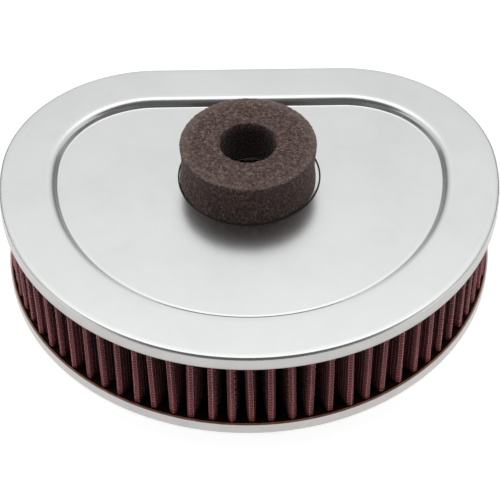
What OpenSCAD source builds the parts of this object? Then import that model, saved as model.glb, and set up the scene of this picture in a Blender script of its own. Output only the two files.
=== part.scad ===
// D-shaped pleated air filter element: a pressed steel top plate and a pressed
// steel bottom ring, with a pleated pack of cotton gauze between two wire screens
// potted into both, and a foam sealing pad on top.
// Millimetres, +Z up. The origin is at the middle of the base, on the surface
// the filter stands on. Front is -Y, the flat back is +Y.

/* [Outline] */
// Radius of the long front arc, centred on the pad's axis
front_r = 108; // [100:1:116]
// Radius of the two back corners
corner_r = 66; // [62:1:68]
// Distance from the pad's axis to the flat back
back_y = 69; // [68:0.5:72]

/* [Heights] */
// Height from the bottom ring's lower edge to the top plate's band
body_h = 47.6; // [40:0.2:60]
// Height of the skirt folded down round the top plate
top_skirt_h = 6.6; // [5:0.2:9]
// Height of the bottom ring's outer wall
bottom_skirt_h = 5.4; // [4.6:0.2:8]
// How far the base gasket stands out below the bottom ring
gasket_t = 1.5; // [1:0.1:3]

/* [Sheet metal] */
// Thickness of the steel sheet
sheet_t = 0.8; // [0.6:0.1:1]
// Width of the raised band round the top plate
band_w = 22; // [21.6:0.2:26]
// Depth of the recessed panel below the band
recess = 3.2; // [2:0.1:3.6]
// Radius of the round hole through the top plate
hole_r = 11.3; // [8:0.1:12]
// How far the bottom ring's outline lies inside the top plate's
ring_inset = 1; // [0.5:0.1:1.4]
// Width of the bottom ring's channel, walls included
ring_w = 21.6; // [21:0.2:25]

/* [Pleated pack] */
// Number of pleats
pleats = 75; // [67:2:79]
// How far the pleat crests lie inside the top plate's outline
pack_inset = 2.6; // [2.2:0.1:2.8]
// Depth of the pack, from outer crests to inner crests
pack_depth = 17; // [14:0.5:17]
// Width of each outer crest
crest_w = 3.5; // [3.3:0.1:3.8]
// Gap left between two folds at the bottom of an outer valley
valley_gap = 0.7; // [0.5:0.1:0.9]
// Thickness of each wire screen
screen_t = 0.3; // [0.25:0.01:0.35]
// Thickness of each gauze ply
ply_t = 0.225; // [0.2:0.005:0.24]
// Thickness of the crimped seam clip
clip_t = 0.5; // [0.4:0.1:0.6]
// Length of pack that the seam clip covers
clip_len = 6; // [4:0.5:8]

/* [Sealant] */
// Sealant between the pack's ends and the sheet
pot_floor = 1; // [0.6:0.1:1.4]
// How far the bottom sealant stays below the ring's lip
pot_drop = 0.6; // [0.4:0.1:1.5]
// How far the top sealant stays clear of the step down to the panel
pot_relief = 1; // [0.5:0.1:1.2]

/* [Foam pad] */
// Outer radius of the foam pad
pad_r = 29.2; // [26:0.1:29.5]
// Radius of the hole through the pad
pad_hole_r = 12.4; // [12:0.1:16]
// Height of the pad
pad_h = 18.7; // [12:0.1:25]
// Sideways offset of the pad from the hole's axis
pad_shift = -0.3; // [-0.5:0.1:0.5]
// Thickness of the adhesive film under the pad
film_t = 0.2; // [0.1:0.05:0.3]
// Middle radius of the thin rubber ring round the pad
trim_r = 30.6; // [30.5:0.1:34]
// Width of the thin rubber ring
trim_w = 0.7; // [0.6:0.1:1.2]
// Height of the thin rubber ring
trim_h = 0.5; // [0.4:0.1:0.8]

/* [Base gasket] */
// How far the gasket's outer edge lies inside the bottom ring's outline
gasket_inset = 5; // [4:0.5:7]
// Width of the gasket
gasket_w = 11; // [8:0.5:13]

/* [Hidden] */
$fn = 96;
arc_step = 3;                 // angle of each straight piece of an outline arc
over = 1;                     // how far cutting shapes run past what they cut
slack = 0.02;                 // room left between layers that lie on each other

// Corner centres, where the corner arcs touch the front arc from inside
corner_y = back_y - corner_r;
corner_x = sqrt(pow(front_r - corner_r, 2) - pow(corner_y, 2));
join_a = atan2(corner_y, corner_x);
axis_y = (front_r - back_y) / 2;

// Heights of the pieces
ring_z = gasket_t;
plate_z = ring_z + body_h;
panel_z = plate_z - recess;
film_z = panel_z + film_t;
pack_z0 = ring_z + sheet_t + pot_floor;
pack_z1 = plate_z - sheet_t - pot_floor;
bottom_pot_z1 = ring_z + bottom_skirt_h - pot_drop;
top_pot_z0 = plate_z - sheet_t - recess;

// The pack's path: back half, corner, front arc, corner, back half, clockwise
pack_front_r = front_r - pack_inset;
pack_corner_r = corner_r - pack_inset;
corner_len = pack_corner_r * (90 - join_a) * PI / 180;
front_len = pack_front_r * (180 + 2 * join_a) * PI / 180;
path_len = 2 * corner_x + 2 * corner_len + front_len;
pitch = path_len / pleats;

// Layers of the pack, counted inwards from the outer crests
gauze_t = 4 * ply_t;
pack_t = gauze_t + 2 * screen_t;
valley_d = pack_depth - pack_t;
tip_d = valley_d + pack_t / 3;
corner_rate = 0.93;           // how fast a crest narrows from one layer to the next

// Points of the outline, moved inwards by inset
function arc(cx, cy, r, a0, a1) =
    let (steps = ceil(abs(a1 - a0) / arc_step))
    [for (i = [0:steps]) let (a = a0 + (a1 - a0) * i / steps) [cx + r * cos(a), cy + r * sin(a)]];

function without_last(points) = [for (i = [0:len(points) - 2]) points[i]];

function outline(inset) = concat(
    arc(corner_x, corner_y, corner_r - inset, 90, join_a),
    without_last(arc(0, 0, front_r - inset, join_a - arc_step, -180 - join_a + arc_step)),
    arc(-corner_x, corner_y, corner_r - inset, 180 - join_a, 90));

// A slab of the outline from z0 to z1, placed with the part's middle at the origin
module slab(inset, z0, z1)
    translate([0, axis_y, z0])
        linear_extrude(z1 - z0)
            polygon(outline(inset));

// A band between two insets
module band(inset0, inset1, z0, z1)
    difference() {
        slab(inset0, z0, z1);
        slab(inset1, z0 - over, z1 + over);
    }

// A disc on the pad's axis
module disc(r, z0, z1, x = 0)
    translate([x, axis_y, z0])
        cylinder(r = r, h = z1 - z0);

// Place on the pack's path at length s: [x, y, inward x, inward y, curvature]
function on_arc(cx, cy, r, a) = [cx + r * cos(a), cy + r * sin(a), -cos(a), -sin(a), 1 / r];

function place(s) =
    let (c1 = corner_x, c2 = c1 + corner_len, c3 = c2 + front_len, c4 = c3 + corner_len)
    s < c1 ? [s, back_y - pack_inset, 0, -1, 0] :
    s < c2 ? on_arc(corner_x, corner_y, pack_corner_r, 90 - (s - c1) / pack_corner_r * 180 / PI) :
    s < c3 ? on_arc(0, 0, pack_front_r, join_a - (s - c2) / pack_front_r * 180 / PI) :
    s < c4 ? on_arc(-corner_x, corner_y, pack_corner_r,
                    180 - join_a - (s - c3) / pack_corner_r * 180 / PI) :
    [s - path_len, back_y - pack_inset, 0, -1, 0];

// A point at depth d and sideways distance side from the middle of the pleat at p
function at(p, d, side) = [p[0] + p[2] * d - p[3] * side, p[1] + p[3] * d + p[2] * side];

// Half widths of a fold's crest and of its foot, on the layer surface at depth o
function crest_half(o) = crest_w / 2 - corner_rate * o;
function foot_half(p, o) =
    pitch / 2 * (1 - (valley_d + o) * p[4]) - valley_gap / 2 - corner_rate * o;
function side_at(p, o, d) =
    crest_half(o) + (foot_half(p, o) - crest_half(o)) * (d - o) / valley_d;

// Points of one pleat's fold on the layer surface at depth o
function fold(i, o) =
    let (
        p = place((i + 0.5) * pitch),
        d0 = i == 0 ? tip_d : valley_d + o,
        d1 = i == pleats - 1 ? tip_d : valley_d + o
    )
    [at(p, d0, -side_at(p, o, d0)), at(p, o, -crest_half(o)),
     at(p, o, crest_half(o)), at(p, d1, side_at(p, o, d1))];

function surface_line(o) = [for (i = [0:pleats - 1]) each fold(i, o)];
function reversed(points) = [for (i = [len(points) - 1:-1:0]) points[i]];
function strip(o0, o1) = concat(surface_line(o0), reversed(surface_line(o1)));

// One pleated layer between the surfaces at depths o0 and o1
module layer(o0, o1)
    translate([0, axis_y, pack_z0])
        linear_extrude(pack_z1 - pack_z0)
            polygon(strip(o0, o1));

// Gauze ply number i, counted from outside
module gauze(i)
    layer(screen_t + (i - 1) * ply_t, screen_t + i * ply_t - slack);

// Outline of the U-shaped clip over the two ends of the pack, grown by extra
function clip_side(d) = pitch / 2 - side_at(place(pitch / 2), pack_t, d) + slack;
function clip_points(extra) =
    let (
        y0 = back_y - pack_inset,
        d0 = tip_d - clip_len - extra,
        d1 = tip_d + slack,
        d2 = d1 + clip_t + extra,
        wall = clip_t + extra
    )
    [[clip_side(d0) + wall, y0 - d0], [clip_side(d1) + wall, y0 - d2],
     [-clip_side(d1) - wall, y0 - d2], [-clip_side(d0) - wall, y0 - d0],
     [-clip_side(d0), y0 - d0], [-clip_side(d1), y0 - d1],
     [clip_side(d1), y0 - d1], [clip_side(d0), y0 - d0]];

// Room for the pack and its clip, cut out of the sealant they stand in
module pack_room(z0, z1) {
    translate([0, axis_y, z0])
        linear_extrude(z1 - z0)
            polygon(strip(-slack, pack_t + slack / 2));
    translate([0, axis_y, z0])
        linear_extrude(z1 - z0)
            polygon(clip_points(slack));
}

module base_gasket()
    color([0.10, 0.10, 0.11])
        band(ring_inset + gasket_inset, ring_inset + gasket_inset + gasket_w, 0, gasket_t);

module bottom_ring()
    color([0.74, 0.74, 0.73])
        difference() {
            band(ring_inset, ring_inset + ring_w, ring_z, ring_z + bottom_skirt_h);
            band(ring_inset + sheet_t, ring_inset + ring_w - sheet_t,
                 ring_z + sheet_t, ring_z + bottom_skirt_h + over);
        }

module bottom_sealant()
    color([0.50, 0.12, 0.08])
        difference() {
            band(ring_inset + sheet_t, ring_inset + ring_w - sheet_t,
                 ring_z + sheet_t, bottom_pot_z1);
            pack_room(pack_z0, bottom_pot_z1 + over);
        }

module outer_screen()
    color([0.42, 0.20, 0.22])
        layer(0, screen_t - slack);

module gauze_ply_1()
    color([0.45, 0.12, 0.15])
        gauze(1);

module gauze_ply_2()
    color([0.42, 0.11, 0.14])
        gauze(2);

module gauze_ply_3()
    color([0.40, 0.10, 0.13])
        gauze(3);

module gauze_ply_4()
    color([0.38, 0.10, 0.12])
        gauze(4);

module inner_screen()
    color([0.45, 0.40, 0.40])
        layer(pack_t - screen_t, pack_t);

module seam_clip()
    color([0.66, 0.66, 0.67])
        translate([0, axis_y, pack_z0])
            linear_extrude(pack_z1 - pack_z0)
                polygon(clip_points(0));

module top_sealant()
    color([0.50, 0.12, 0.08])
        difference() {
            band(sheet_t, band_w - sheet_t - pot_relief, top_pot_z0, plate_z - sheet_t);
            pack_room(top_pot_z0 - over, pack_z1);
        }

module top_plate()
    color([0.84, 0.85, 0.86])
        difference() {
            slab(0, plate_z - top_skirt_h, plate_z);
            slab(band_w, panel_z, plate_z + over);
            slab(sheet_t, plate_z - top_skirt_h - over, panel_z - sheet_t);
            band(sheet_t, band_w - sheet_t, panel_z - sheet_t - over / 2, plate_z - sheet_t);
            disc(hole_r, panel_z - sheet_t - over, panel_z + over);
        }

module trim_ring()
    color([0.05, 0.05, 0.05])
        difference() {
            disc(trim_r + trim_w / 2, panel_z, panel_z + trim_h);
            disc(trim_r - trim_w / 2, panel_z - over, panel_z + trim_h + over);
        }

module pad_adhesive()
    color([0.80, 0.78, 0.70])
        difference() {
            disc(pad_r - 2 * film_t, panel_z, film_z, pad_shift);
            disc(pad_hole_r + 2 * film_t, panel_z - over, film_z + over, pad_shift);
        }

module foam_pad()
    color([0.36, 0.31, 0.30])
        difference() {
            disc(pad_r, film_z, film_z + pad_h, pad_shift);
            disc(pad_hole_r, film_z - over, film_z + pad_h + over, pad_shift);
        }

base_gasket();
bottom_ring();
bottom_sealant();
outer_screen();
gauze_ply_1();
gauze_ply_2();
gauze_ply_3();
gauze_ply_4();
inner_screen();
seam_clip();
top_sealant();
top_plate();
trim_ring();
pad_adhesive();
foam_pad();
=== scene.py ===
"""Looks for a D-shaped motorcycle air filter element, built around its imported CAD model.

Everything is in metres, in the part's own frame: +Z up, the flat back towards +Y,
the origin in the middle of the base. Lengths are written in millimetres times MM.
"""
import math

import bmesh
import bpy
import numpy as np
from mathutils import Matrix, Vector, noise


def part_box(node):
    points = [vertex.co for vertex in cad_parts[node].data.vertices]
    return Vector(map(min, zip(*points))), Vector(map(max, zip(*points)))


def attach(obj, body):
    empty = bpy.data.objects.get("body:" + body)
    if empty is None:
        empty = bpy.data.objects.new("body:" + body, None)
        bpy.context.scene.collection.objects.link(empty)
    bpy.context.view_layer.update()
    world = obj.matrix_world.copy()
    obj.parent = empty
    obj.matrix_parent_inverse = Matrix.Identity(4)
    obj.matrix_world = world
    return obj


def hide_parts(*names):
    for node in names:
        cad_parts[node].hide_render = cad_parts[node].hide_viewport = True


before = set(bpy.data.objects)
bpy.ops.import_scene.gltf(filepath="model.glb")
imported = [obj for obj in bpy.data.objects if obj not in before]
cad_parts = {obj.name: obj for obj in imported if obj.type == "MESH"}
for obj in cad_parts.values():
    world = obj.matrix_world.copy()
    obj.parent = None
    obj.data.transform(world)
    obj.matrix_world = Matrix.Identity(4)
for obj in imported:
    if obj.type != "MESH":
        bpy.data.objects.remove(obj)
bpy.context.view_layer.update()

MM = 0.001

# ---------------------------------------------------------------- driving sizes
FRONT_R = 108 * MM  # the long front arc, centred on the pad's axis
CORNER_R = 66 * MM  # the two back corners
BACK_Y = 69 * MM  # from the pad's axis to the flat back
AXIS_Y = (FRONT_R - BACK_Y) / 2  # the pad's axis, in the part's frame
CORNER_Y = BACK_Y - CORNER_R
CORNER_X = math.sqrt((FRONT_R - CORNER_R) ** 2 - CORNER_Y**2)
JOIN_A = math.atan2(CORNER_Y, CORNER_X)

SHEET_T = 0.8 * MM
RECESS = 3.2 * MM
RING_INSET = 1 * MM
RING_W = 21.6 * MM
RING_SHIFT = -0.5 * MM  # the ring sits a little to one side of the cover
HOLE_R = 11.3 * MM
PAD_FOOT = (-0.3 * MM, -1.1 * MM)  # the pad is stuck down a little off centre
PAD_BACK = 0.2 * MM

plate_low, plate_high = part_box("top_plate")
ring_low, ring_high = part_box("bottom_ring")
pack_low, pack_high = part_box("outer_screen")
pad_low, pad_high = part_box("foam_pad")
PLATE_Z = plate_high.z
PANEL_Z = PLATE_Z - RECESS
RIM_STEPS = 560  # points round a swept outline

# Light against a direction's height (with a little of its depth added), and against how far
# it comes from the camera's side. Then panels at the sides, a low one straight behind, low
# ones in front at both sides of the camera, and dark flags low at the back corners.
HEIGHT_LIGHT = [
    (0.0, 0.28), (0.15, 0.33), (0.28, 0.66), (0.42, 0.88), (0.76, 0.97),
    (0.815, 1.10), (0.86, 1.34), (0.93, 1.72), (0.98, 1.90), (1.02, 1.90),
]
FRONT_LIGHT = [(-0.05, 1.0), (0.02, 0.95), (0.22, 0.12), (1.0, 0.14)]
SIDE_PANEL_HEIGHT = [(0.0, 0.85), (0.5, 0.85), (0.7, 0.0)]
SIDE_PANEL_ACROSS = [(0.66, 0.0), (0.80, 1.0)]
SIDE_PANEL_FRONT = [(0.0, 0.0), (0.15, 1.0), (0.45, 1.0), (0.62, 0.0)]
BACK_PANEL_HEIGHT = [(0.0, 0.9), (0.25, 0.7), (0.45, 0.0)]
BACK_PANEL_FRONT = [(-0.99, 1.0), (-0.95, 0.0)]
FRONT_PANEL_HEIGHT = [(0.10, 0.0), (0.18, 0.34), (0.38, 0.34), (0.50, 0.0)]
FRONT_PANEL_FRONT = [(0.40, 0.0), (0.55, 1.0), (0.82, 1.0), (0.92, 0.2)]
FLAG_HEIGHT = [(0.0, 0.75), (0.3, 0.6), (0.5, 0.0)]  # the share of the light a dark flag takes
FLAG_FRONT = [(-0.97, 0.0), (-0.90, 0.7), (-0.75, 1.0), (-0.55, 1.0), (-0.40, 0.0)]


# ---------------------------------------------------------------- the D outline
def place(s, inset):
    """Points at lengths s along the outline moved inwards by inset.

    Gives their places, the inward directions and the outline's curvature there."""
    s = np.asarray(s, float)
    corner_r, front_r = CORNER_R - inset, FRONT_R - inset
    corner_len = corner_r * (math.pi / 2 - JOIN_A)
    front_len = front_r * (math.pi + 2 * JOIN_A)
    ends = np.cumsum([CORNER_X, corner_len, front_len, corner_len, CORNER_X])
    turn = [
        np.full_like(s, math.pi / 2),
        math.pi / 2 - (s - ends[0]) / corner_r,
        JOIN_A - (s - ends[1]) / front_r,
        math.pi - JOIN_A - (s - ends[2]) / corner_r,
        np.full_like(s, math.pi / 2),
    ]
    middle = [
        (s, np.full_like(s, BACK_Y - inset)),
        (CORNER_X, CORNER_Y),
        (0, 0),
        (-CORNER_X, CORNER_Y),
        (s - ends[4], np.full_like(s, BACK_Y - inset)),
    ]
    radius = [0, corner_r, front_r, corner_r, 0]
    part = np.searchsorted(ends[:4], s, side="right")
    x, y, a = np.zeros_like(s), np.zeros_like(s), np.zeros_like(s)
    curve = np.zeros_like(s)
    for i in range(5):
        here = part == i
        a[here] = turn[i][here]
        x[here] = (middle[i][0] + radius[i] * np.cos(turn[i]))[here]
        y[here] = (middle[i][1] + radius[i] * np.sin(turn[i]))[here]
        curve[here] = 1 / radius[i] if radius[i] else 0
    straight = (part == 0) | (part == 4)
    x[straight] = np.where(part == 0, s, s - ends[4])[straight]
    y[straight] = BACK_Y - inset
    inward = -np.stack([np.cos(a), np.sin(a)], -1)
    return np.stack([x, y + AXIS_Y], -1), inward, curve


def outline_length(inset):
    corner = (CORNER_R - inset) * (math.pi / 2 - JOIN_A)
    front = (FRONT_R - inset) * (math.pi + 2 * JOIN_A)
    return 2 * CORNER_X + 2 * corner + front


def outline_points():
    """The RIM_STEPS points that a section is carried round by, and the inward directions."""
    s = np.arange(RIM_STEPS) * outline_length(0) / RIM_STEPS
    base, inward, _ = place(s, 0)
    return base, inward


# ---------------------------------------------------------------- mesh helpers
def make(name, points, faces, uv=None, fold=None):
    """A smooth mesh object whose faces look outwards.

    uv and fold have one entry for each point. A material reads fold as painted shade, by how deep a
    point lies between the pleats or in the pad's hole, and on the cover as a painted highlight."""
    mesh = bpy.data.meshes.new(name)
    mesh.from_pydata([tuple(p) for p in points], [], [tuple(f) for f in faces])
    if uv is not None:
        layer = mesh.uv_layers.new(name="cloth")
        corner = np.zeros(len(mesh.loops), np.int32)
        mesh.loops.foreach_get("vertex_index", corner)
        layer.data.foreach_set("uv", np.asarray(uv, np.float32)[corner].ravel())
    bm = bmesh.new()
    bm.from_mesh(mesh)
    bmesh.ops.recalc_face_normals(bm, faces=bm.faces)
    bm.to_mesh(mesh)
    bm.free()
    if fold is not None:
        layer = mesh.attributes.new("fold", "FLOAT", "POINT")
        layer.data.foreach_set("value", np.asarray(fold, np.float32).ravel())
    mesh.shade_smooth()
    obj = bpy.data.objects.new(name, mesh)
    bpy.context.scene.collection.objects.link(obj)
    return obj


def grid_faces(rows, columns, close_rows=False, close_columns=False):
    """Quads of a grid of points numbered row by row."""
    r = np.arange(rows if close_rows else rows - 1)
    c = np.arange(columns if close_columns else columns - 1)
    r, c = np.meshgrid(r, c, indexing="ij")
    r1, c1 = (r + 1) % rows, (c + 1) % columns
    quads = [r * columns + c, r1 * columns + c, r1 * columns + c1, r * columns + c1]
    return np.stack([q.ravel() for q in quads], -1)


def rounded(corners, steps=6):
    """A closed section from corners (x, z, radius), each rounded by an arc."""
    points = []
    count = len(corners)
    for i, (x, z, r) in enumerate(corners):
        here = np.array([x, z])
        before = np.array(corners[i - 1][:2]) - here
        after = np.array(corners[(i + 1) % count][:2]) - here
        if r <= 0:
            points.append(here)
            continue
        u, v = before / np.linalg.norm(before), after / np.linalg.norm(after)
        half = math.acos(np.clip(u @ v, -1, 1)) / 2
        centre = here + (u + v) / np.linalg.norm(u + v) * r / math.sin(half)
        a = here + u * r / math.tan(half) - centre
        b = here + v * r / math.tan(half) - centre
        total = math.atan2(a[0] * b[1] - a[1] * b[0], a @ b)
        for k in range(steps + 1):
            t = total * k / steps
            turn = np.array([[math.cos(t), -math.sin(t)], [math.sin(t), math.cos(t)]])
            points.append(centre + turn @ a)
    return np.array(points)


def sweep(name, section, x=0.0):
    """A closed section of (inset, z) pairs carried round the D outline, moved across by x."""
    base, inward = outline_points()
    flat = base[:, None] + inward[:, None] * section[None, :, :1]
    flat[..., 0] += x
    z = np.broadcast_to(section[None, :, 1:], flat[..., :1].shape)
    points = np.concatenate([flat, z], -1).reshape(-1, 3)
    return make(name, points, grid_faces(RIM_STEPS, len(section), True, True))


def turned(name, section, steps, x=0.0, fold=None):
    """A closed section of (radius, z) pairs turned about the pad's axis."""
    a = np.arange(steps) * 2 * math.pi / steps
    points = np.zeros((steps, len(section), 3))
    points[..., 0] = x + np.cos(a)[:, None] * section[None, :, 0]
    points[..., 1] = AXIS_Y + np.sin(a)[:, None] * section[None, :, 0]
    points[..., 2] = section[None, :, 1]
    faces = grid_faces(steps, len(section), True, True)
    return make(name, points.reshape(-1, 3), faces, fold=fold)


def finished(obj, material, slot, *nodes):
    """Gives a piece its material, its body and the CAD nodes it stands for."""
    obj.data.materials.append(material)
    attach(obj, "root")
    if nodes:
        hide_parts(*nodes)


# ---------------------------------------------------------------- node helpers
class Nodes:
    """A node tree with short ways to add to it."""

    def __init__(self, tree):
        self.tree = tree

    def node(self, kind, **values):
        made = self.tree.nodes.new(kind)
        for key, value in values.items():
            setattr(made, key, value)
        return made

    def join(self, a, b):
        self.tree.links.new(a, b)

    def split(self, vector):
        """The three parts of a vector."""
        made = self.node("ShaderNodeSeparateXYZ")
        self.join(vector, made.inputs[0])
        return made.outputs

    def maths(self, operation, a, b=None):
        made = self.node("ShaderNodeMath", operation=operation)
        for socket, value in zip(made.inputs, (a, b)):
            if value is None:
                continue
            if isinstance(value, (int, float)):
                socket.default_value = value
            else:
                self.join(value, socket)
        return made.outputs["Value"]

    def ramp(self, fac, *stops):
        """Colour ramp from stops (position, colour)."""
        made = self.node("ShaderNodeValToRGB")
        elements = made.color_ramp.elements
        while len(elements) < len(stops):
            elements.new(0.5)
        for element, (position, colour) in zip(elements, stops):
            element.position = position
            element.color = (*colour, 1)
        self.join(fac, made.inputs["Fac"])
        return made.outputs["Color"]


class Shader(Nodes):
    """A node material on the Principled shader."""

    def __init__(self, name):
        self.material = bpy.data.materials.new(name)
        self.material.use_nodes = True
        super().__init__(self.material.node_tree)
        self.bsdf = self.tree.nodes["Principled BSDF"]

    def coords(self, stretch=(1, 1, 1), uv=None):
        """The point in the part's frame, or on a UV map, times stretch."""
        if uv:
            source = self.node("ShaderNodeUVMap", uv_map=uv).outputs["UV"]
        else:
            source = self.node("ShaderNodeTexCoord").outputs["Object"]
        mapping = self.node("ShaderNodeMapping")
        mapping.inputs["Scale"].default_value = stretch
        self.join(source, mapping.inputs["Vector"])
        return mapping.outputs["Vector"]

    def noise(self, scale, detail=3.0, rough=0.5, stretch=(1, 1, 1), distort=0.0):
        made = self.node("ShaderNodeTexNoise")
        made.inputs["Scale"].default_value = scale
        made.inputs["Detail"].default_value = detail
        made.inputs["Roughness"].default_value = rough
        made.inputs["Distortion"].default_value = distort
        self.join(self.coords(stretch), made.inputs["Vector"])
        return made.outputs["Fac"]

    def cells(self, scale):
        """Distance from the middle of the nearest cell."""
        made = self.node("ShaderNodeTexVoronoi", feature="F1")
        made.inputs["Scale"].default_value = scale
        self.join(self.coords(), made.inputs["Vector"])
        return made.outputs["Distance"]

    def painted(self):
        """The fold value written on the mesh's points."""
        return self.node("ShaderNodeAttribute", attribute_name="fold").outputs["Fac"]

    def span(self, fac, low, high, to_low=0.0, to_high=1.0):
        """A value's range from low to high, brought to to_low up to to_high."""
        made = self.node("ShaderNodeMapRange")
        ends = {"From Min": low, "From Max": high, "To Min": to_low, "To Max": to_high}
        for key, value in ends.items():
            made.inputs[key].default_value = value
        self.join(fac, made.inputs["Value"])
        return made.outputs["Result"]

    def fill(self, grain, low=0.0, high=1.0):
        """A noise's usual range, 0.3 to 0.7, brought to low up to high."""
        return self.span(grain, 0.3, 0.7, low, high)

    def mottled(self, grain, a, b):
        """Two colours mixed by a noise."""
        return self.mix(self.fill(grain), a, b)

    def mix(self, fac, a, b, blend="MIX"):
        made = self.node("ShaderNodeMix", data_type="RGBA", blend_type=blend)
        sockets = made.inputs[0], made.inputs[6], made.inputs[7]
        for socket, value in zip(sockets, (fac, a, b)):
            if isinstance(value, (int, float)):
                socket.default_value = value
            elif isinstance(value, tuple):
                socket.default_value = (*value, 1)
            else:
                self.join(value, socket)
        return made.outputs[2]

    def bump(self, height, strength, distance):
        made = self.node("ShaderNodeBump")
        made.inputs["Strength"].default_value = strength
        made.inputs["Distance"].default_value = distance
        self.join(height, made.inputs["Height"])
        self.join(made.outputs["Normal"], self.bsdf.inputs["Normal"])

    def set(self, **values):
        for key, value in values.items():
            socket = self.bsdf.inputs[key.replace("_", " ")]
            if isinstance(value, bpy.types.NodeSocket):
                self.join(value, socket)
            elif isinstance(value, tuple):
                socket.default_value = (*value, 1)
            else:
                socket.default_value = value
        return self.material


# ---------------------------------------------------------------- materials
HOLE_SHADE = (HOLE_R + 2.6 * MM, HOLE_R + 3.2 * MM)  # where the painted shade on the plate inside the pad's hole fades out


def plated_steel():
    """Bright plate with a fine grain and faint clouds, a painted highlight along the foot of the step
    and painted shade round the hole.
    """
    m = Shader("plated_steel")
    grain = m.noise(1400, 3, 0.6, (0.10, 1, 1))
    cloud = m.noise(22, 3, 0.6)
    mottle = m.noise(75, 5, 0.7, distort=0.6)
    colour = m.mottled(cloud, (0.600, 0.610, 0.612), (0.640, 0.650, 0.643))
    colour = m.mix(m.span(mottle, 0.35, 0.65, 0.0, 0.35), colour, (0.66, 0.67, 0.675))
    # painted shade: the plate inside the pad's hole is painted near black
    colour = m.mix(m.span(from_axis(m), *HOLE_SHADE), (0.02, 0.018, 0.016), colour)
    # painted highlight: a paler line along the foot of the step
    colour = m.mix(m.painted(), colour, (0.80, 0.805, 0.79))
    rough = m.maths("ADD", m.fill(grain, 0.235, 0.255), m.fill(cloud, -0.01, 0.02))
    m.bump(grain, 0.02, 0.01 * MM)
    return m.set(Base_Color=colour, Metallic=1.0, Roughness=rough)


def from_axis(m):
    """Distance from the pad's axis."""
    at = m.split(m.coords())
    across = m.maths("POWER", at["X"], 2.0)
    along = m.maths("POWER", m.maths("SUBTRACT", at["Y"], AXIS_Y), 2.0)
    return m.maths("SQRT", m.maths("ADD", across, along))


def painted_light_steel(name="drawn_steel_painted_shade", tone=0.92):
    """The duller steel of upright faces, with faint drawing lines and a base colour darkened as
    painted shade; a higher tone is paler, as painted light.
    """
    m = Shader(name)
    lines = m.noise(700, 3, 0.6, (0.06, 0.06, 1.6))
    blotch = m.noise(60, 3, 0.6)
    dull = tuple(c * tone for c in (0.47, 0.462, 0.45))
    clean = tuple(c * tone for c in (0.52, 0.51, 0.497))
    m.bump(lines, 0.12, 0.03 * MM)
    rough = m.fill(lines, 0.30, 0.38)
    return m.set(Base_Color=m.mottled(blotch, dull, clean), Metallic=1.0, Roughness=rough)


def open_cell_foam():
    """Dark foam with pits, pale struts and oily patches; its top is painted paler towards the rim and
    the back as painted light, its sides and hole painted darker as painted shade.
    """
    m = Shader("open_cell_foam")
    cell = m.cells(1000)
    fine = m.noise(780, 2, 0.75)
    patch = m.noise(120, 3, 0.6)
    dark, middle, pale = (0.030, 0.020, 0.019), (0.110, 0.072, 0.065), (0.33, 0.235, 0.215)
    body = m.ramp(fine, (0.24, dark), (0.50, middle), (0.79, pale))
    pit = m.ramp(m.span(cell, 0.10, 0.60), (0.0, (0.55, 0.53, 0.53)), (0.6, (1, 1, 1)))
    colour = m.mix(1.0, body, pit, "MULTIPLY")
    speck = m.span(m.noise(1250, 1, 0.5), 0.69, 0.74)
    colour = m.mix(speck, colour, (0.52, 0.40, 0.31))
    colour = m.mix(m.span(patch, 0.4, 0.75, 0.0, 0.3), colour, (0.085, 0.055, 0.045))
    up = m.split(m.node("ShaderNodeNewGeometry").outputs["True Normal"])["Z"]
    # painted light: the top is painted paler towards its rim and towards the back
    rim = m.maths("MULTIPLY", m.span(from_axis(m), 24 * MM, 29 * MM), m.span(up, 0.2, 0.8))
    back = m.span(m.split(m.coords())["Y"], AXIS_Y - 25 * MM, AXIS_Y + 10 * MM, 0.1, 0.34)
    colour = m.mix(m.maths("MULTIPLY", rim, back), colour, (0.30, 0.25, 0.23))
    # painted shade: the pad's sides are painted darker than its top
    cut = m.span(up, 0.2, 0.8, 0.70, 1.0)
    colour = m.mix(cut, (0.006, 0.005, 0.0045), colour)
    # painted shade deep in the pad's hole
    colour = m.mix(fold_shade(m, 0.22), (0.002, 0.0014, 0.0012), colour)
    m.bump(m.maths("ADD", fine, cell), 0.6, 0.35 * MM)
    m.set(Base_Color=colour, Roughness=0.95, Specular_IOR_Level=0.15)
    return m.set(Sheen_Weight=0.35, Sheen_Roughness=0.4, Sheen_Tint=(1.0, 0.88, 0.84))


def fold_shade(m, fade):
    """How open the fold is: 1 on a crest, falling to fade deep in a valley; colours are scaled by it
    as painted shade.
    """
    return m.span(m.painted(), 0.0, 1.0, 1.0, fade)


def painted_light_low_end(m, most):
    """Rises to most towards the lower ends of the folds, which are painted paler as painted light."""
    return m.span(m.split(m.coords())["Z"], 8 * MM, 28 * MM, most, 0.0)


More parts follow.
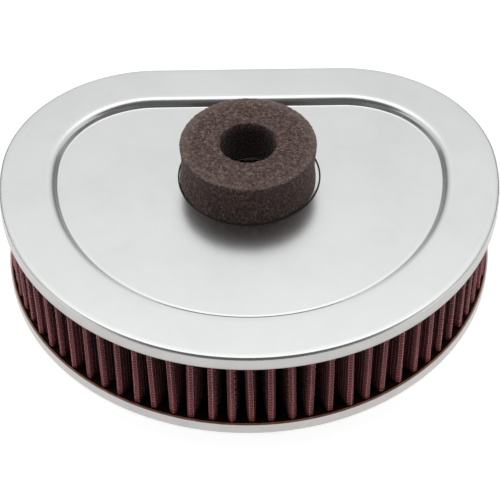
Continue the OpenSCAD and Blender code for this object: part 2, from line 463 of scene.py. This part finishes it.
def oiled_gauze():
    """Red gauze, with painted shade beside the screen's wires and deep in the folds, and painted light
    towards the lower ends.
    """
    m = Shader("oiled_gauze")
    cloth = m.split(m.coords((1 / WIRE_GAP, 1 / WIRE_GAP, 1), "cloth"))
    lines = []
    for axis in range(2):
        wave = m.maths("COSINE", m.maths("MULTIPLY", cloth[axis], 2 * math.pi))
        lines.append(m.span(wave, 0.3, 1.0))
    near_wire = m.maths("MAXIMUM", *lines)
    thread = m.noise(3600, 2, 0.6)
    colour = m.mottled(thread, (0.056, 0.008, 0.010), (0.31, 0.052, 0.062))
    # painted shade: the gauze is painted darker beside and under the screen's wires
    colour = m.mix(m.maths("MULTIPLY", near_wire, 0.6), colour, (0.05, 0.007, 0.009))
    # painted light: the lower ends are painted paler
    colour = m.mix(painted_light_low_end(m, 0.30), colour, (0.55, 0.09, 0.10))
    # painted shade deep in the folds
    colour = m.mix(fold_shade(m, 0.05), (0.002, 0.0006, 0.0006), colour)
    m.bump(m.maths("SUBTRACT", thread, near_wire), 0.5, 0.2 * MM)
    return m.set(Base_Color=colour, Roughness=0.55, Specular_IOR_Level=0.25)


def screen_wire():
    """Aluminium wire under a coat of red oil, painted paler towards the lower ends as painted light
    and darker deep in the folds and under the weave as painted shade.
    """
    m = Shader("screen_wire")
    stain = m.noise(900, 3, 0.6)
    colour = m.mix(m.span(stain, 0.35, 0.7), (0.66, 0.34, 0.34), (0.55, 0.16, 0.17))
    # painted light: the lower ends are painted paler
    colour = m.mix(painted_light_low_end(m, 0.40), colour, (0.95, 0.42, 0.42))
    # painted shade deep in the folds and under the weave
    colour = m.mix(fold_shade(m, 0.05), (0.004, 0.002, 0.002), colour)
    return m.set(Base_Color=colour, Metallic=0.6, Roughness=m.fill(stain, 0.32, 0.5))


def grained(name, scale, colours, rough, bump, stretch=(1, 1, 1), **rest):
    """A finish whose colour, roughness and relief (strength, distance) all follow one noise."""
    m = Shader(name)
    grain = m.noise(scale, 3, 0.6, stretch)
    m.bump(grain, *bump)
    colour = m.mottled(grain, *colours)
    return m.set(Base_Color=colour, Roughness=m.fill(grain, *rough), **rest)


def red_sealant():
    colours = (0.42, 0.13, 0.06), (0.62, 0.24, 0.13)
    return grained("red_sealant", 240, colours, (0.35, 0.55), (0.3, 0.3 * MM))


# the red sealant painted near black, as painted shade
def painted_shade_sealant():
    colours = (0.008, 0.003, 0.003), (0.022, 0.008, 0.007)
    relief = (0.3, 0.3 * MM)
    return grained("painted_shade_sealant", 240, colours, (0.45, 0.65), relief, Specular_IOR_Level=0.2)


def black_rubber():
    colours = (0.010, 0.010, 0.011), (0.024, 0.024, 0.025)
    relief = (0.25, 0.05 * MM)
    return grained("black_rubber", 1600, colours, (0.55, 0.75), relief, Specular_IOR_Level=0.3)


def clip_steel():
    colours = (0.035, 0.032, 0.030), (0.065, 0.060, 0.056)
    relief, upright = (0.2, 0.05 * MM), (1, 1, 0.1)
    return grained("clip_steel", 800, colours, (0.35, 0.5), relief, upright, Metallic=1.0)


def adhesive_film():
    """The thin clear glue under the pad."""
    m = Shader("adhesive_film")
    cloud = m.noise(300, 2, 0.5)
    colour = m.mix(cloud, (0.10, 0.09, 0.07), (0.16, 0.15, 0.12))
    return m.set(Base_Color=colour, Roughness=m.fill(cloud, 0.3, 0.45))


# ---------------------------------------------------------------- sheet metal
BEND_R = 1.6 * MM  # the bend from the band down to the skirt
CROWN_W = 3.2 * MM  # the outer part of the band falls away a little
CROWN_TILT = math.radians(3)
STEP_IN = 19.7 * MM  # where the band starts to bend down to the panel
STEP_HIGH_R = 3.6 * MM
STEP_IN_FRONT = 20.5 * MM
STEP_HIGH_R_FRONT = 1.8 * MM  # the bend is tighter at the front
STEP_LOW_R = 0.8 * MM
STEP_LOW_R_FRONT = 1.0 * MM
STEP_TILT = math.radians(60)
STEP_HIGHLIGHT = (0.1 * MM, 0.9 * MM)  # the painted highlight line, outwards and inwards from the foot of the step
PANEL_START = STEP_HIGHLIGHT[1] + 0.5 * MM  # from the foot of the step, the panel is drawn to the hole
FRONT_EXTRA = 1.05 * MM  # the band is a little wider away from the flat back
PANEL_SHIFT = 0.28 * MM  # the panel is pressed a little to one side
MOVED_FROM, MOVED_OVER = 6 * MM, 12 * MM  # where the last two begin, and the width they rise over
SKIRT_TOP = 0.9 * MM  # how far under the band the duller steel, darkened as painted shade, begins
SKIRT_FOOT = 0.25 * MM  # the height over which the skirt's lower edge is rounded


def cover_profile(step_in, high_r, low_r):
    """Outer face of the cover from skirt to panel: inset, height and the face's direction."""
    crown = math.tan(CROWN_TILT) / 2 / (CROWN_W - BEND_R * (1 - math.sin(CROWN_TILT)))

    def band_drop(inset):
        return crown * max(0, CROWN_W - inset) ** 2

    start = BEND_R * (1 - math.sin(CROWN_TILT))
    centre_z = PLATE_Z - band_drop(start) - BEND_R * math.cos(CROWN_TILT)
    rows = [(0, plate_low.z + k, -1, 0) for k in (SKIRT_FOOT, 1.5 * MM, 3.5 * MM)]
    rows.append((0, centre_z - 0.3 * MM, -1, 0))
    for t in np.linspace(math.pi / 2, CROWN_TILT, 11):
        inset, z = BEND_R * (1 - math.sin(t)), centre_z + BEND_R * math.cos(t)
        rows.append((inset, z, -math.sin(t), math.cos(t)))
    for inset in np.linspace(start, CROWN_W, 9)[1:]:
        tilt = math.atan(2 * crown * (CROWN_W - inset))
        rows.append((inset, PLATE_Z - band_drop(inset), -math.sin(tilt), math.cos(tilt)))
    for inset in np.linspace(CROWN_W, step_in, 8)[1:-1]:
        rows.append((inset, PLATE_Z, 0, 1))
    for t in np.linspace(0, STEP_TILT, 12):
        inset, z = step_in + high_r * math.sin(t), PLATE_Z - high_r * (1 - math.cos(t))
        rows.append((inset, z, math.sin(t), math.cos(t)))
    left = rows[-1][1] - PANEL_Z - low_r * (1 - math.cos(STEP_TILT))
    inset, z = rows[-1][0] + left / math.tan(STEP_TILT), rows[-1][1] - left
    middle = inset + low_r * math.sin(STEP_TILT)
    for t in np.linspace(STEP_TILT, 0, 8):
        inset, z = middle - low_r * math.sin(t), PANEL_Z + low_r * (1 - math.cos(t))
        rows.append((inset, z, math.sin(t), math.cos(t)))
    rows += [(middle + k, PANEL_Z, 0, 1) for k in (0.3 * MM, STEP_HIGHLIGHT[1], PANEL_START)]
    return np.array(rows)


def cover_section(step_in, high_r, low_r):
    """The cover's closed section: inset, height, share drawn to the hole, edge radius, painted
    highlight.
    """
    outer = cover_profile(step_in, high_r, low_r)
    inner = outer[::-1, :2] - outer[::-1, 2:] * SHEET_T
    share = np.append(np.linspace(0, 1, 12)[1:-1], 0.99)
    edge = 0.04 * MM
    rim = [(0, edge), (-edge, 0), (-SHEET_T + edge, 0), (-SHEET_T, edge)]
    low, soft, drop = plate_low.z, 0.2 * MM, 0.03 * MM
    lip = [(SHEET_T, low + SKIRT_FOOT), (SHEET_T - soft, low + drop)]
    lip += [(SHEET_T / 2, low), (soft, low + drop)]
    last = outer[-1, 0]
    foot = last - PANEL_START
    # the painted highlight runs along the foot of the step
    painted_highlight = (outer[:, 0] > foot - STEP_HIGHLIGHT[0]) & (outer[:, 0] < foot + STEP_HIGHLIGHT[1] + 0.01 * MM)
    section = [(i, z, 0, 0, b) for (i, z), b in zip(outer[:, :2], painted_highlight)]
    section += [(last, PANEL_Z, w, edge, 0) for w in share]
    section += [(last, PANEL_Z + z, 1, r, 0) for z, r in rim]
    section += [(last, PANEL_Z - SHEET_T, w, edge, 0) for w in share[::-1]]
    section += [(i, z, 0, 0, 0) for i, z in inner]
    section += [(i, z, 0, 0, 0) for i, z in lip]
    return np.array(section)


def top_plate():
    """The pressed cover: skirt, crowned band, step and panel, in one sheet with a round hole."""
    soft = cover_section(STEP_IN, STEP_HIGH_R, STEP_LOW_R)
    tight = cover_section(STEP_IN_FRONT, STEP_HIGH_R_FRONT, STEP_LOW_R_FRONT)
    base, inward = outline_points()
    facing = inward[:, 1]  # from -1 at the flat back to 1 at the very front
    front = np.clip(facing, 0, 1)[:, None, None] ** 3
    section = soft[None] * (1 - front) + tight[None] * front
    wide = FRONT_EXTRA * np.clip(facing + 0.8, 0, 1) ** 0.7
    moved = np.clip((section[..., 0] - MOVED_FROM) / MOVED_OVER, 0, 1)
    inset = section[..., 0] + wide[:, None] * moved
    flat = base[:, None] + inward[:, None] * inset[..., None]
    flat[..., 0] += PANEL_SHIFT * moved
    axis = np.array([0, AXIS_Y])
    ray = flat - axis
    ray /= np.linalg.norm(ray, axis=-1, keepdims=True)
    w = section[..., 2:3]
    flat = flat * (1 - w) + (axis + ray * (HOLE_R + section[..., 3:4])) * w
    points = np.concatenate([flat, section[..., 1:2]], -1).reshape(-1, 3)
    # painted highlight, strongest at the front
    painted_highlight = section[..., 4] * front[..., 0]
    faces = grid_faces(RIM_STEPS, section.shape[1], True, True)
    obj = make("cover_plate", points, faces, fold=painted_highlight)
    finished(obj, plated_steel(), "plated_steel", "top_plate")
    # painted shade: the skirt's upright faces get a darker copy of the steel
    obj.data.materials.append(painted_light_steel())
    for face in obj.data.polygons:
        c = face.center
        if abs(face.normal.z) < 0.85 and c.z < PLATE_Z - SKIRT_TOP and on_skirt(c):
            face.material_index = 1


def on_skirt(point):
    """True for a point within two sheets of the outline's edge."""
    x, y = point.x, point.y - AXIS_Y
    if y > CORNER_Y and abs(x) <= CORNER_X:
        return BACK_Y - y < 2 * SHEET_T
    if math.atan2(y, abs(x)) > JOIN_A:
        return CORNER_R - math.hypot(abs(x) - CORNER_X, y - CORNER_Y) < 2 * SHEET_T
    return FRONT_R - math.hypot(x, y) < 2 * SHEET_T


def bottom_ring():
    """The pressed channel that holds the lower ends of the pleats."""
    a, b, t = RING_INSET, RING_INSET + RING_W, SHEET_T
    low, high = ring_low.z, ring_high.z
    lip, bend, inner_bend = 0.2 * MM, 0.6 * MM, 0.1 * MM
    section = rounded([
        (a, high, lip), (a, low, bend), (b, low, bend), (b, high, lip),
        (b - t, high, lip), (b - t, low + t, inner_bend),
        (a + t, low + t, inner_bend), (a + t, high, lip),
    ])
    obj = sweep("base_ring", section, RING_SHIFT)
    # painted light: the ring's steel is a paler copy of the skirt's, against the shade near the floor
    finished(obj, painted_light_steel("ring_steel_painted_light", 1.08), "plated_steel", "bottom_ring")


# ---------------------------------------------------------------- pleated pack
PACK_INSET = 2.6 * MM
PACK_DEPTH = 17 * MM
PLEATS = 75
CREST_R = 1.48 * MM  # outer surface, at the crests
FOLD_R = 0.35 * MM  # outer surface, at the bottom of the valleys
SCREEN_T = 0.3 * MM
PLY_T = 0.225 * MM
PLIES = 4
PACK_T = PLIES * PLY_T + 2 * SCREEN_T
VALLEY_D = PACK_DEPTH - PACK_T
TIP_D = VALLEY_D + PACK_T / 3
PITCH = outline_length(PACK_INSET) / PLEATS
WIRE_GAP = 25.4 * MM / 15  # fifteen wires to the inch
WIRE_R = 0.165 * MM
WIRE_SIDES = 3
UNDER_SHADE = 0.7  # how much painted shade darkens a wire where it dips under the others
WEAVE = 0.17 * MM  # how far a wire rises and falls as it crosses the others
SHADE_FROM, SHADE_OVER = 0.35 * MM, 1.7 * MM  # where painted shade begins in a fold, and how fast it darkens

# How far each pleat stands to one side, leans and stands proud. The end pleats stay put.
spread = np.random.default_rng(11)
free = np.clip(np.minimum(np.arange(PLEATS), np.arange(PLEATS)[::-1]) / 3, 0, 1)
shift = spread.normal(0, 0.42 * MM, PLEATS).clip(-0.9 * MM, 0.9 * MM) * free
lean = spread.normal(0, 0.25 * MM, PLEATS).clip(-0.5 * MM, 0.5 * MM) * free
proud = spread.uniform(0, 0.45 * MM, PLEATS) * free


def fold_lines(depth, heights, crest_steps, valley_steps):
    """The pleated surface at a depth below the outer one, as a line at each height.

    Gives points and outward directions, both (heights, points, 2), and how deep each lies."""
    up = (np.asarray(heights) - pack_low.z) / (pack_high.z - pack_low.z) - 0.5
    s = (np.arange(PLEATS) + 0.5) * PITCH + shift + up[:, None] * 2 * lean
    base, inward, curve = place(s, PACK_INSET)
    base[..., 0] += RING_SHIFT
    along = np.stack([-inward[..., 1], inward[..., 0]], -1)
    gaps = np.diff(s, axis=1) / 2
    edge = np.full((len(s), 1), PITCH / 2)
    halves = {-1: np.hstack([edge, gaps]), 1: np.hstack([gaps, edge])}
    crest = np.broadcast_to(CREST_R + proud, s.shape)
    parts = {}
    for side, half in halves.items():
        alpha = half * curve
        with np.errstate(divide="ignore", invalid="ignore"):
            foot = np.where(curve > 0, (1 / curve - VALLEY_D + FOLD_R) * np.tan(alpha), half)
        fold = np.stack([foot, VALLEY_D - FOLD_R - crest], -1)
        reach = np.linalg.norm(fold, axis=-1, keepdims=True)
        fold = fold / reach
        sine = (CREST_R + FOLD_R) / reach
        out = fold * sine + np.stack([fold[..., 1], -fold[..., 0]], -1) * np.sqrt(1 - sine**2)
        leg = np.arctan2(out[..., 0], -out[..., 1])
        turns = leg[..., None] * np.linspace(0, 1, crest_steps)
        normal = np.stack([np.sin(turns), -np.cos(turns)], -1)
        points = normal * (CREST_R - depth)
        points[..., 1] += crest[..., None]
        back = np.linspace(1, 0, valley_steps)
        turns = alpha[..., None] + (leg - alpha)[..., None] * back
        low_normal = np.stack([np.sin(turns), -np.cos(turns)], -1)
        low = -low_normal * (FOLD_R + depth)
        low += np.stack([foot, np.full_like(foot, VALLEY_D - FOLD_R)], -1)[..., None, :]
        first = 0 if side < 0 else PLEATS - 1
        tip = points[:, first, -1:]
        run = np.stack([-out[:, first, 1], out[:, first, 0]], -1)[:, None]
        length = (TIP_D - tip[..., 1:]) / run[..., 1:]
        low[:, first] = tip + run * length * np.linspace(0.6, 1, valley_steps)[:, None]
        low_normal[:, first] = out[:, first, None]
        parts[side] = [points, normal, low, low_normal]
    flip = np.array([-1, 1])
    left = [p[..., ::-1, :] * flip for p in parts[-1]]
    right = parts[1]
    local = np.concatenate([left[2], left[0][..., :-1, :], right[0], right[2]], 2)
    facing = np.concatenate([left[3], left[1][..., :-1, :], right[1], right[3]], 2)
    local, facing = local[:, :, 1:], facing[:, :, 1:]
    u, d = local[..., :1], local[..., 1:]
    xy = base[:, :, None] + inward[:, :, None] * d + along[:, :, None] * u
    n = inward[:, :, None] * facing[..., 1:] + along[:, :, None] * facing[..., :1]
    rows = len(s)
    # painted shade: the fold's colour darkens with depth below the surface
    deep = np.clip((d - depth - SHADE_FROM) / SHADE_OVER, 0, 1)
    return xy.reshape(rows, -1, 2), n.reshape(rows, -1, 2), deep.reshape(rows, -1)


def lengths(line):
    """Length along a line, at each of its points."""
    return np.concatenate([[0], np.cumsum(np.linalg.norm(np.diff(line, axis=0), axis=1))])


def ply(name, depth0, depth1, heights, crest_steps, valley_steps):
    """One pleated cloth, closed all round, between two depths of the pack; and its length."""
    both = [fold_lines(d, heights, crest_steps, valley_steps) for d in (depth0, depth1)]
    sides = [xy for xy, _, _ in both]
    fold = np.concatenate([deep.ravel() for _, _, deep in both])
    rows, count = sides[0].shape[:2]
    z = np.broadcast_to(np.asarray(heights)[:, None, None], (rows, count, 1))
    points = np.concatenate([np.concatenate([side, z], -1).reshape(-1, 3) for side in sides])
    q = lengths(sides[0][0])
    uv = np.stack([np.tile(q, rows), np.repeat(np.asarray(heights) - pack_low.z, count)], -1)
    front = grid_faces(rows, count)
    back = front[:, ::-1] + rows * count
    ring = np.concatenate([
        np.arange(count), np.arange(1, rows) * count + count - 1,
        (rows - 1) * count + np.arange(count - 1)[::-1], np.arange(1, rows - 1)[::-1] * count,
    ])
    after = np.roll(ring, -1)
    rim = np.stack([ring, after, after + rows * count, ring + rows * count], -1)
    obj = make(name, points, np.concatenate([front, back, rim]), np.concatenate([uv, uv]), fold)
    return obj, q[-1]


def tubes(lines, out, side):
    """Wires along lines, (wires, points, 3), each a prism with its own two cross directions."""
    wires, count = lines.shape[:2]
    a = np.arange(WIRE_SIDES) * 2 * math.pi / WIRE_SIDES
    ring = out[:, :, None] * np.cos(a)[:, None] + side[:, :, None] * np.sin(a)[:, None]
    points = (lines[:, :, None] + ring * WIRE_R).reshape(-1, 3)
    one = grid_faces(count, WIRE_SIDES, False, True)
    faces = (one[None] + np.arange(wires)[:, None, None] * count * WIRE_SIDES).reshape(-1, 4)
    ends = np.arange(WIRE_SIDES)
    caps = []
    for w in range(wires):
        first, last = w * count * WIRE_SIDES, (w * count + count - 1) * WIRE_SIDES
        caps.append(np.stack([ends[::-1] + first, ends + last]))
    faces = [tuple(f) for f in faces] + [tuple(c) for pair in caps for c in pair]
    return points, faces


def screen(name, depth, crest_zone, outward, crest_steps, valley_steps):
    """A pleated woven wire screen: weft wires along the folds and warp wires up them.

    The wires rise and fall only within crest_zone of the tip of each fold, the outer tips or
    the inner ones. Elsewhere they run straight and have fewer points."""
    rows = int((pack_high.z - pack_low.z) / WIRE_GAP)
    heights = pack_low.z + (np.arange(rows) + 0.5) * WIRE_GAP
    xy, normal, deep = fold_lines(depth, heights, crest_steps, valley_steps)
    at = [lengths(line) for line in xy]
    whole = at[0][-1]
    per_pleat = xy.shape[1] // PLEATS
    peak = at[0].reshape(PLEATS, per_pleat)
    middle = peak[:, valley_steps - 1 + crest_steps - 1] if outward else peak[:, -1]

    def off_middle(q):
        """Distance along the fold lines to the nearest tip."""
        return np.abs(q[:, None] - middle[None]).min(1)

    crossings = np.arange(0, whole, WIRE_GAP)
    halves = np.arange(0, whole, WIRE_GAP / 2)
    halves = halves[off_middle(halves) < crest_zone]
    stops = at[0][off_middle(at[0]) >= crest_zone]
    samples = np.unique(np.concatenate([halves, stops, [0, whole]]))
    samples = samples[np.concatenate([[True], np.diff(samples) > 0.05 * MM])]

    def read(row, q):
        """Places and outward directions at lengths q along one row."""
        q = q * at[row][-1] / whole
        place_at = [np.interp(q, at[row], xy[row, :, k]) for k in (0, 1)]
        faces = [np.interp(q, at[row], normal[row, :, k]) for k in (0, 1)]
        faces = np.stack(faces, -1)
        return np.stack(place_at, -1), faces / np.linalg.norm(faces, axis=-1, keepdims=True)

    def lifted(row, q, sign):
        """The woven wire's points at lengths q, its outward directions and its painted shade."""
        p, n = read(row, q)
        ease = np.clip((crest_zone - off_middle(q)) / WIRE_GAP, 0, 1)
        over = sign * np.cos(math.pi * (q / WIRE_GAP + row)) * ease
        lift = WEAVE * over
        p = p + n * lift[:, None]
        point = np.concatenate([p, np.full((len(q), 1), heights[row])], -1)
        shade = np.interp(q * at[row][-1] / whole, at[row], deep[row])
        shade = np.clip(shade + UNDER_SHADE * (ease - over) / 2, 0, 1)
        return point, np.concatenate([n, np.zeros((len(q), 1))], -1), shade

    weft = [lifted(row, samples, 1) for row in range(rows)]
    lines, out, shade = (np.stack(x) for x in zip(*weft))
    points, faces = tubes(lines, out, np.broadcast_to([0.0, 0, 1], out.shape))
    made = [make(name + "_weft", points, faces, fold=np.repeat(shade, WIRE_SIDES))]
    near = crossings[off_middle(crossings) < crest_zone]
    far = crossings[off_middle(crossings) >= crest_zone]
    groups = []
    for q, used in ((near, range(rows)), (far, (0, rows - 1))):
        columns = [lifted(row, q, -1) for row in used]
        lines, out, shade = (np.stack(x, 1) for x in zip(*columns))
        lines[:, 0, 2], lines[:, -1, 2] = pack_low.z, pack_high.z
        side = np.stack([-out[..., 1], out[..., 0], np.zeros_like(out[..., 0])], -1)
        groups.append((*tubes(lines, out, side), np.repeat(shade, WIRE_SIDES)))
    (points_a, faces_a, fold_a), (points_b, faces_b, fold_b) = groups
    shifted = [tuple(i + len(points_a) for i in f) for f in faces_b]
    points, fold = np.concatenate([points_a, points_b]), np.concatenate([fold_a, fold_b])
    made.append(make(name + "_warp", points, faces_a + shifted, fold=fold))
    return made


def pleated_pack():
    """Two wire screens with four plies of gauze between them, the hidden plies made coarser."""
    wire = screen_wire()
    outer = screen(
        "outer_screen", depth=0.02 * MM, crest_zone=4.2 * MM, outward=True,
        crest_steps=6, valley_steps=3,
    )
    for piece in outer:
        finished(piece, wire, "wire_screen", "outer_screen")
    inner = screen(
        "inner_screen", depth=PACK_T - SCREEN_T / 2, crest_zone=0, outward=False,
        crest_steps=3, valley_steps=4,
    )
    for piece in inner:
        finished(piece, wire, "wire_screen", "inner_screen")
    rows = np.linspace(pack_low.z, pack_high.z, 7)
    cloth_t = PLY_T * 0.92
    for number in range(PLIES):
        depth = SCREEN_T + number * PLY_T
        seen = number in (0, PLIES - 1)
        heights, crest_steps, valley_steps = (rows, 9, 7) if seen else (rows[::3], 5, 4)
        name = f"gauze_ply_{number + 1}"
        obj, long = ply(name + "_cloth", depth, depth + cloth_t, heights, crest_steps, valley_steps)
        finished(obj, oiled_gauze(), "cotton_gauze", name)


def sealants():
    """The cast sealant in the ring's channel and in the cover's: red in the bead at the ring's lip,
    painted near black elsewhere as painted shade.
    """
    a, b = RING_INSET + SHEET_T, RING_INSET + RING_W - SHEET_T
    low, high = ring_low.z + SHEET_T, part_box("bottom_sealant")[1].z
    lip = ring_high.z
    # painted shade: the pool and the cover's sealant get the sealant painted near black
    dark = painted_shade_sealant()
    pool = rounded([
        (a, low, 0), (b, low, 0), (b, high + 0.3 * MM, 0.1 * MM), (b - 1.2 * MM, high, 0.5 * MM),
        (a + 1.1 * MM, high, 0.4 * MM), (a + 0.3 * MM, high + 0.35 * MM, 0.2 * MM),
        (a, high + 0.35 * MM, 0),
    ], 4)
    finished(sweep("lower_sealant", pool, RING_SHIFT), dark, "sealant", "bottom_sealant")
    out = a - 0.22 * MM
    bead = rounded([
        (out, lip - 0.05 * MM, 0), (out, lip + 0.12 * MM, 0.1 * MM),
        (a + 0.30 * MM, lip + 0.10 * MM, 0.2 * MM), (a + 0.35 * MM, lip - 0.5 * MM, 0.1 * MM),
        (a, lip - 0.5 * MM, 0),
    ], 4)
    finished(sweep("lower_sealant_bead", bead, RING_SHIFT), red_sealant(), "sealant", "bottom_sealant")
    low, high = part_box("top_sealant")[0].z, PLATE_Z - SHEET_T
    a, b = SHEET_T, STEP_IN + 0.4 * MM
    section = rounded([
        (a, high - 0.8 * MM, 0.1 * MM), (a, low - 0.5 * MM, 0.2 * MM), (a + 1 * MM, low, 0.6 * MM),
        (b - 1 * MM, low, 0.4 * MM), (b, low + 0.2 * MM, 0.1 * MM), (b, high, 0.1 * MM),
        (CROWN_W, high, 0.3 * MM), (a + 0.5 * MM, high - 0.35 * MM, 0.2 * MM),
    ], 4)
    finished(sweep("upper_sealant", section), dark, "sealant", "top_sealant")


# ---------------------------------------------------------------- pad and seals
def block(near, far, low, high, low_r, high_r):
    """A four-cornered section from near to far, its low corners of low_r, its high of high_r."""
    corners = [(far, low, low_r), (far, high, high_r), (near, high, high_r), (near, low, low_r)]
    return rounded(corners, 5)


def foam_pad():
    """A die-cut ring of open-cell foam: waisted sides, soft edges, pits and struts in its skin."""
    outer, hole = (pad_high.x - pad_low.x) / 2, 12.4 * MM
    x = (pad_high.x + pad_low.x) / 2
    low, high = pad_low.z, pad_high.z
    corners = block(hole, outer, low, high, 0.3 * MM, 0.7 * MM)
    step, turns = 0.38 * MM, 460  # between the skin's points up the section, and round the axis
    closed = np.vstack([corners, corners[:1]])
    at = lengths(closed)
    q = np.arange(0, at[-1] - step / 2, step)
    section = np.stack([np.interp(q, at, closed[:, k]) for k in (0, 1)], -1)
    up = (section[:, 1] - low) / (high - low)
    side = np.clip((section[:, 0] - hole) / (outer - hole) * 2 - 1, -1, 1)
    shade_depth = 5 * MM  # painted shade darkens the hole's wall over this depth
    inside = (side < -0.5) * np.clip((1 - up) * (high - low) / shade_depth, 0, 1)
    flare, waist = 0.25 * MM, 0.75 * MM
    section[:, 0] += side * (flare - waist * np.sin(math.pi * up))
    obj = turned("foam_ring", section, turns, x, np.tile(inside, turns))
    mesh = obj.data
    count = len(mesh.vertices)
    normals, points = np.zeros(count * 3, np.float32), np.zeros(count * 3, np.float32)
    mesh.vertices.foreach_get("normal", normals)
    mesh.vertices.foreach_get("co", points)
    normals, points = normals.reshape(-1, 3), points.reshape(-1, 3)
    moved = points.copy()
    pits_per_m, grains_per_m, waves_per_m = 1050, 1700, 60
    for i, (p, n) in enumerate(zip(points, normals)):
        near = noise.voronoi(Vector(p) * pits_per_m)[0]
        pit = math.exp(-3.5 * near[0] ** 2)
        grain = noise.noise(Vector(p) * grains_per_m)
        slow = noise.noise(Vector(p) * waves_per_m)
        moved[i] += n * (0.12 - 0.42 * pit + 0.12 * grain + 0.15 * slow) * MM
    lean = np.clip((points[:, 2] - low) / (high - low), 0, 1)
    moved[:, 0] += PAD_FOOT[0] * (1 - lean)
    moved[:, 1] += PAD_FOOT[1] * (1 - lean) + PAD_BACK * lean
    moved[:, 2] = np.maximum(moved[:, 2], low)
    mesh.vertices.foreach_set("co", moved.ravel())
    mesh.update()
    finished(obj, open_cell_foam(), "open_cell_foam", "foam_pad")


def trim_ring():
    """The thin rubber ring round the pad."""
    low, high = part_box("trim_ring")
    outer = (high.x - low.x) / 2
    section = block(outer - 0.7 * MM, outer, low.z, high.z, 0.1 * MM, 0.28 * MM)
    finished(turned("trim_ring_cord", section, 240), black_rubber(), "trim_rubber", "trim_ring")


def base_gasket():
    """The flat rubber seal under the base ring."""
    low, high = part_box("base_gasket")
    a = RING_INSET + 5 * MM
    section = block(a, a + 11 * MM, low.z, high.z, 0.5 * MM, 0.1 * MM)
    finished(sweep("base_seal", section, RING_SHIFT), black_rubber(), "gasket_rubber", "base_gasket")


def carried_over():
    """CAD nodes whose shape is right and only need a finish."""
    for name, material in (("seam_clip", clip_steel()), ("pad_adhesive", adhesive_film())):
        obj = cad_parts[name]
        obj.data.materials.clear()
        obj.data.materials.append(material)


# ---------------------------------------------------------------- studio
def floor():
    """A plain pale floor just under the part, glowing a little as in a light tent."""
    half, z = 3.0, -0.2 * MM
    points = [(-half, -half, z), (half, -half, z), (half, half, z), (-half, half, z)]
    obj = make("studio_floor", points, [(0, 1, 2, 3)])
    m = Shader("studio_white")
    colour = m.mix(m.noise(3, 2, 0.5), (0.79, 0.79, 0.79), (0.81, 0.81, 0.81))
    m.set(Base_Color=colour, Roughness=0.9)
    m.set(Emission_Color=(1.0, 1.0, 1.0), Emission_Strength=0.68)
    obj.data.materials.append(m.material)


def studio_light():
    """A soft dome, brightest overhead and dim on the camera's side, with its panels and flags."""
    world = bpy.data.worlds.new("studio")
    bpy.context.scene.world = world
    world.use_nodes = True
    w = Nodes(world.node_tree)
    direction = w.split(w.node("ShaderNodeTexCoord").outputs["Generated"])
    up, toward = direction["Z"], w.maths("MULTIPLY", direction["Y"], -1)
    across = w.maths("ABSOLUTE", direction["X"])

    def curve(value, stops):
        """Straight lines between stops (value, light)."""
        low, high = stops[0][0], stops[-1][0]
        most = max(light for _, light in stops)
        greys = [((at - low) / (high - low), (light / most,) * 3) for at, light in stops]
        share = w.maths("DIVIDE", w.maths("SUBTRACT", value, low), high - low)
        return w.maths("MULTIPLY", w.ramp(share, *greys), most)

    def patch(height, front):
        """Light from directions within both a range of heights and one of depths."""
        return w.maths("MULTIPLY", curve(up, height), curve(toward, front))

    dome = curve(w.maths("ADD", up, w.maths("MULTIPLY", toward, -0.15)), HEIGHT_LIGHT)
    dome = w.maths("MULTIPLY", dome, curve(toward, FRONT_LIGHT))
    unflagged = w.maths("SUBTRACT", 1.0, patch(FLAG_HEIGHT, FLAG_FRONT))
    dome = w.maths("MULTIPLY", dome, unflagged)
    sides = patch(SIDE_PANEL_HEIGHT, SIDE_PANEL_FRONT)
    sides = w.maths("MULTIPLY", sides, curve(across, SIDE_PANEL_ACROSS))
    back = patch(BACK_PANEL_HEIGHT, BACK_PANEL_FRONT)
    front = patch(FRONT_PANEL_HEIGHT, FRONT_PANEL_FRONT)
    light = w.maths("ADD", w.maths("ADD", dome, sides), w.maths("ADD", back, front))
    w.join(light, w.tree.nodes["Background"].inputs["Color"])


def camera():
    """The photograph's view: from the front, 45 degrees up, with a long lens."""
    elevation, azimuth, roll = (math.radians(a) for a in (45.64, -0.22, -0.66))
    target = Vector((-0.03 * MM, AXIS_Y - 1.90 * MM, ring_low.z))
    distance, focal_length = 791.03 * MM, 126.25
    back = Vector((
        math.sin(azimuth) * math.cos(elevation),
        -math.cos(azimuth) * math.cos(elevation),
        math.sin(elevation),
    ))
    right = (-back).cross(Vector((0, 0, 1))).normalized()
    up = right.cross(-back)
    across = right * math.cos(roll) + up * math.sin(roll)
    upward = up * math.cos(roll) - right * math.sin(roll)
    data = bpy.data.cameras.new("camera")
    data.sensor_width = 36
    data.lens = focal_length
    data.clip_start, data.clip_end = 0.05, 20
    obj = bpy.data.objects.new("camera", data)
    turn = Matrix((across, upward, back)).transposed().to_4x4()
    obj.matrix_world = Matrix.Translation(target + back * distance) @ turn
    bpy.context.scene.collection.objects.link(obj)
    bpy.context.scene.camera = obj


# ---------------------------------------------------------------- the scene
bpy.context.scene.view_settings.view_transform = "Standard"
camera()
studio_light()
floor()
top_plate()
bottom_ring()
pleated_pack()
sealants()
foam_pad()
trim_ring()
base_gasket()
carried_over()
